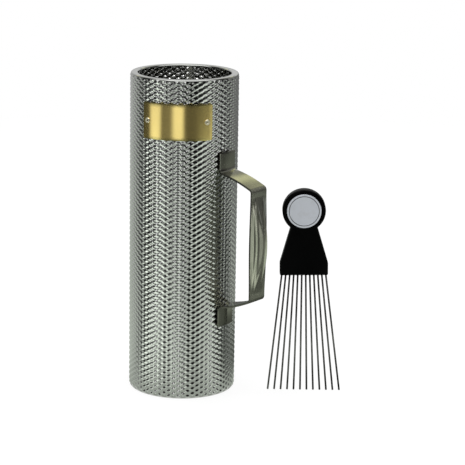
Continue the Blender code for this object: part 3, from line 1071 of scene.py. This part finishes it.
def scraper_stand():
    """The scraper's own frame, leaning a little: on the floor under the middle of its tine tips."""
    side = CREST_RADIUS + SCRAPER_SIDE_GAP + TINE_TIP_SPREAD / 2
    turn = Matrix.Rotation(SCRAPER_TURN, 4, "Z")
    foot = TUBE_AXIS + turn @ Vector((side, -SCRAPER_FORWARD, 0))
    return Matrix.Translation(foot) @ turn @ Matrix.Rotation(-SCRAPER_LEAN, 4, "Y")


def head_outline():
    """The head's outline as (across, height) from its bottom edge, anticlockwise."""
    neck_drop = math.sqrt(DISC_RADIUS**2 - HEAD_NECK_HALF_WIDTH**2)
    middle = Vector((0, 0))
    corner = Vector((HEAD_HALF_WIDTH, 0))
    shoulder = Vector((HEAD_HALF_WIDTH, HEAD_SHOULDER))
    neck = Vector((HEAD_NECK_HALF_WIDTH, DISC_HEIGHT - neck_drop))
    right = rounded_corner(middle, corner, shoulder, HEAD_CORNER_RADIUS, CORNER_STEPS)
    right += rounded_corner(corner, shoulder, neck, HEAD_SHOULDER_RADIUS, CORNER_STEPS)
    points = [(place.x, place.y) for place, _ in right]
    neck_angle = math.atan2(-neck_drop, HEAD_NECK_HALF_WIDTH)
    sweep = math.pi - 2 * neck_angle
    for step in range(DISC_STEPS + 1):
        angle = neck_angle + sweep * step / DISC_STEPS
        points.append((DISC_RADIUS * math.cos(angle), DISC_HEIGHT + DISC_RADIUS * math.sin(angle)))
    points += [(-place.x, place.y) for place, _ in reversed(right)]
    return points


def label_placement():
    """The label's frame: its back at z = 0 on the recess floor, its face towards the front."""
    floor = -HEAD_THICKNESS / 2 + LABEL_RECESS
    face = Matrix.Translation((0, floor, HEAD_BASE + DISC_HEIGHT)) @ Matrix.Rotation(math.pi / 2, 4, "X")
    return scraper_stand() @ face


def scraper_head(material):
    bm = bmesh.new()
    front = [bm.verts.new((x, -HEAD_THICKNESS / 2, HEAD_BASE + z)) for x, z in head_outline()]
    face = bm.faces.new(front)
    extruded = bmesh.ops.extrude_face_region(bm, geom=[face], use_keep_orig=True)
    back = [item for item in extruded["geom"] if isinstance(item, bmesh.types.BMVert)]
    bmesh.ops.translate(bm, verts=back, vec=(0, HEAD_THICKNESS, 0))
    rims = [edge for edge in bm.edges if abs(edge.verts[0].co.y - edge.verts[1].co.y) < SEAT_GAP]
    bmesh.ops.bevel(
        bm, geom=rims, offset=HEAD_EDGE_ROUND, segments=HEAD_EDGE_STEPS, profile=0.5, affect="EDGES"
    )
    bm.transform(scraper_stand())
    head = linked("scraper_body", mesh_of("scraper_body", bm))
    recess = LABEL_RADIUS + SEAT_GAP
    depth = LABEL_RECESS + CUTTER_OVERRUN
    rod = turned(((0, 0), (recess, 0), (recess, depth), (0, depth)), LABEL_SIDES)
    rod.transform(label_placement())
    head = cut_out(head, linked("label_recess", mesh_of("label_recess", rod)))
    head.data.set_sharp_from_angle(angle=HEAD_CREASE)
    head.data.materials.append(material)
    return head


def scraper_label(material):
    face = SEAT_GAP + LABEL_THICKNESS
    profile = (
        (0, SEAT_GAP),
        (LABEL_RADIUS, SEAT_GAP),
        (LABEL_RADIUS, face - LABEL_EDGE_ROUND),
        (LABEL_RADIUS - LABEL_EDGE_ROUND / 3, face - LABEL_EDGE_ROUND / 3),
        (LABEL_RADIUS - LABEL_EDGE_ROUND, face),
        (LABEL_RING_RADIUS, face),
        (0, face),
    )
    bm = turned(profile, LABEL_SIDES)
    bm.transform(label_placement())
    label = linked("foil_label", mesh_of("foil_label", bm))
    label.data.set_sharp_from_angle(angle=LABEL_CREASE)
    label.data.materials.append(material)
    return label


def tine_rod():
    """One upright tine, with the head's underside at z = 0."""
    inside = TINE_RADIUS - TINE_TIP_ROUND
    profile = (
        (0, -HEAD_BASE),
        (inside, -HEAD_BASE),
        (TINE_RADIUS, TINE_TIP_ROUND - HEAD_BASE),
        (TINE_RADIUS, TINE_SEAT_DEPTH),
        (0, TINE_SEAT_DEPTH),
    )
    return turned(profile, TINE_SIDES)


def tine_fan(material):
    """All the tines, fanned out by a tree from the head's underside to the floor."""
    sizes = {
        "Count": TINE_COUNT,
        "Root spread": TINE_ROOT_SPREAD,
        "Tip spread": TINE_TIP_SPREAD,
        "Drop": HEAD_BASE,
        "Radius": TINE_RADIUS,
        "Stand": scraper_stand().translation,
        "Turn": SCRAPER_TURN,
        "Head lean": SCRAPER_LEAN,
    }
    tree = Tree("tine fan", sizes, material)
    share = tree.node("GeometryNodeInputIndex") / (tree["Count"] - 1) - 0.5
    across = share * tree["Root spread"]
    flare = share * (tree["Root spread"] - tree["Tip spread"])
    lean = flare.math("ARCTAN2", tree["Drop"])
    spot = tree.vector(across, 0.0, tree["Drop"])
    points = tree.node("GeometryNodePoints", None, {"Count": tree["Count"], "Position": spot})
    tilt = lean - tree["Head lean"]
    root = across * tree["Head lean"].math("SINE") + tree["Drop"] * tree["Head lean"].math("COSINE")
    lift = tree["Radius"] * tilt.math("SINE").math("ABSOLUTE")
    length = (root - lift) / (tree["Drop"] * tilt.math("COSINE"))
    turn = tree.node("FunctionNodeEulerToRotation", None, {0: tree.vector(0.0, lean, 0.0)})
    inputs = {
        "Points": points,
        "Instance": tree["Geometry"],
        "Rotation": turn,
        "Scale": tree.vector(1.0, 1.0, length),
    }
    fan = tree.node("GeometryNodeInstanceOnPoints", None, inputs)
    way = tree.vector(0.0, tree["Head lean"] * -1, tree["Turn"])
    about = tree.node("FunctionNodeEulerToRotation", None, {0: way})
    inputs = {"Geometry": fan, "Translation": tree["Stand"], "Rotation": about}
    tree.end(tree.node("GeometryNodeTransform", None, inputs))
    return tree.applied("tine_fan", tine_rod())


# Studio


def towards_camera():
    """The photograph's frame: right, away and up, from the tube's foot."""
    return Matrix.Translation(TUBE_AXIS) @ Matrix.Rotation(VIEW_AZIMUTH, 4, "Z")


def add_camera():
    forward = Vector(
        (
            math.sin(CAMERA_YAW) * math.cos(CAMERA_PITCH),
            math.cos(CAMERA_YAW) * math.cos(CAMERA_PITCH),
            -math.sin(CAMERA_PITCH),
        )
    )
    level = Vector((math.cos(CAMERA_YAW), -math.sin(CAMERA_YAW), 0))
    upright = level.cross(forward)
    right = level * math.cos(CAMERA_ROLL) + upright * math.sin(CAMERA_ROLL)
    up = upright * math.cos(CAMERA_ROLL) - level * math.sin(CAMERA_ROLL)
    turn = Matrix((right, up, -forward)).transposed().to_4x4()
    data = bpy.data.cameras.new("camera")
    data.sensor_width = CAMERA_SENSOR
    data.lens = CAMERA_FOCAL_PIXELS * CAMERA_SENSOR / PHOTO_PIXELS
    camera = bpy.data.objects.new("camera", data)
    bpy.context.scene.collection.objects.link(camera)
    camera.matrix_world = towards_camera() @ Matrix.Translation(CAMERA_PLACE) @ turn
    bpy.context.scene.camera = camera


def shader_material(name):
    """An empty material, and the graph that its nodes go in."""
    material = bpy.data.materials.new(name)
    material.use_nodes = True
    material.node_tree.nodes.clear()
    return material, Graph(material.node_tree)


def grey(tone):
    return (tone, tone, tone, 1)


def turn_share(degrees):
    """Degrees round from the camera as a share of the turn, where 0.5 is straight towards it."""
    return degrees / 360 + 0.5


def card_tones(graph, turn, tones):
    """A grey by the share of the turn."""
    stops = [(turn_share(degrees), grey(tone)) for degrees, tone in tones]
    return graph.node("ShaderNodeValToRGB", {"stops": stops}, {0: turn})


def floor_paper():
    """White paper: as bright as the background where it is seen, with a soft shadow."""
    material, graph = shader_material("floor_paper")
    pale = graph.node("ShaderNodeBsdfDiffuse", None, {"Color": grey(FLOOR_PALE)})
    faint = graph.node("ShaderNodeBsdfDiffuse", None, {"Color": grey(FLOOR_SHADOWED)})
    glow = graph.node("ShaderNodeEmission", None, {"Color": grey(FLOOR_GLOW)})
    lit = graph.node("ShaderNodeAddShader", None, {0: faint, 1: glow})
    surface = graph.node("ShaderNodeMixShader", None, {0: graph.shown(), 1: pale, 2: lit})
    graph.node("ShaderNodeOutputMaterial", None, {"Surface": surface})
    return material


def tent_cards():
    """Cards round the set, toned by the turn from the camera, under a ceiling that is bright in front."""
    material, graph = shader_material("tent_cards")
    x, y, z = graph.parts(graph.node("ShaderNodeTexCoord", None, None, "Object"))
    side, front = x - TUBE_AXIS.x, y - TUBE_AXIS.y
    right = side * math.cos(VIEW_AZIMUTH) + front * math.sin(VIEW_AZIMUTH)
    near = side * math.sin(VIEW_AZIMUTH) - front * math.cos(VIEW_AZIMUTH)
    turn = right.math("ARCTAN2", near) / (2 * math.pi) + 0.5
    reach = (side * side + front * front).math("SQRT")
    pool = graph.ramp(reach, *POOL_END)
    tone = graph.mix(pool, card_tones(graph, turn, FLOOR_TONES), card_tones(graph, turn, POOL_TONES))
    tone = graph.mix(graph.ramp(reach, *FOOT_END), tone, grey(FOOT_TONE))
    far = graph.ramp(reach, *FAR_START) * graph.ramp(turn, *map(turn_share, FAR_DEGREES))
    tone = graph.mix(far, tone, grey(FAR_TONE))
    tone = graph.mix(1.0, tone, FLOOR_TINT, "MULTIPLY")
    tone = graph.mix(z > 2 * CARD_LIFT, tone, card_tones(graph, turn, SKIRT_TONES))
    tone = graph.mix(graph.ramp(z, *SKIRT_HEAD), tone, card_tones(graph, turn, SIDE_TONES))
    band = graph.ramp(z, *BAND_FOOT) * graph.ramp(z, *BAND_HEAD)
    tone = graph.mix(band, tone, card_tones(graph, turn, BAND_TONES))
    window = graph.ramp(z, *WINDOW_FOOT) * graph.ramp(z, *WINDOW_HEAD)
    tone = graph.mix(window * graph.ramp(near * -1, *WINDOW_DEPTH), tone, WINDOW_TONE)
    overhead = graph.ramp(near, *CEILING_SPLIT) * graph.ramp(near, *CEILING_EDGE)
    ceiling = graph.mix(overhead, *map(grey, CEILING_TONES))
    tone = graph.mix(z > TENT_HEIGHT - CARD_LIFT, tone, ceiling)
    glow = graph.node("ShaderNodeEmission", None, {"Color": tone})
    graph.node("ShaderNodeOutputMaterial", None, {"Surface": glow})
    material.cycles.emission_sampling = "NONE"
    return material


def add_stage():
    """The floor, and a tent of cards that shows only in reflections."""
    floor = turned(((0, 0), (FLOOR_RADIUS, 0)), TENT_SIDES)
    floor = linked("floor", mesh_of("floor", floor))
    floor.data.materials.append(floor_paper())
    profile = (
        (TENT_FOOT, CARD_LIFT),
        (TENT_RADIUS, CARD_LIFT),
        (TENT_RADIUS, TENT_HEIGHT),
        (0, TENT_HEIGHT),
    )
    tent = turned(profile, TENT_SIDES)
    tent.transform(Matrix.Translation(TUBE_AXIS))
    tent = linked("card_tent", mesh_of("card_tent", tent))
    tent.data.materials.append(tent_cards())
    tent.visible_camera = False
    tent.visible_diffuse = False
    tent.visible_transmission = False
    tent.visible_shadow = False


def add_light():
    world = bpy.data.worlds.new("studio")
    world.use_nodes = True
    bpy.context.scene.world = world
    graph = Graph(world.node_tree)
    tone = graph.mix(graph.shown(), grey(AMBIENT_TONE), grey(1))
    world.node_tree.links.new(tone.socket, world.node_tree.nodes["Background"].inputs["Color"])
    data = bpy.data.lights.new("overhead_softbox", "AREA")
    data.size = LAMP_SIZE
    data.energy = LAMP_POWER
    lamp = bpy.data.objects.new("overhead_softbox", data)
    bpy.context.scene.collection.objects.link(lamp)
    lamp.location = (0, 0, LAMP_HEIGHT)
    bpy.context.scene.view_settings.view_transform = "Standard"


def dress(piece, body, slot, *nodes):
    """Rides a piece on its body, in place of its solids."""
    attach(piece, body)
    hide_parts(*nodes)


def main():
    tube = tube_face("embossed_tube", outer_rings(), 1, stainless_sheet())
    dress(tube, "guira", "stainless_sheet", "scraping_tube")
    lining = tube_face("tube_lining", lining_rings(), LINING_SHARE, tarnished_lining())
    dress(lining, "guira", "stainless_sheet", "scraping_tube")
    dress(handle_strap(steel_strap()), "guira", "steel_strap", "handle")
    dress(badge_plate(brass_plate()), "guira", "brass_plate", "badge_plate")
    rivets = rivet_pair(brass_rivet())
    dress(rivets, "guira", "brass_rivet", "badge_rivet_left", "badge_rivet_right")
    dress(scraper_head(black_plastic()), "scraper", "black_plastic", "scraper_head")
    label = scraper_label(silver_label(label_placement().translation))
    dress(label, "scraper", "silver_label", "scraper_label")
    tines = [f"tine_{tine + 1:02d}" for tine in range(TINE_COUNT)]
    dress(tine_fan(steel_wire()), "scraper", "steel_wire", *tines)
    add_stage()
    add_light()
    add_camera()


main()
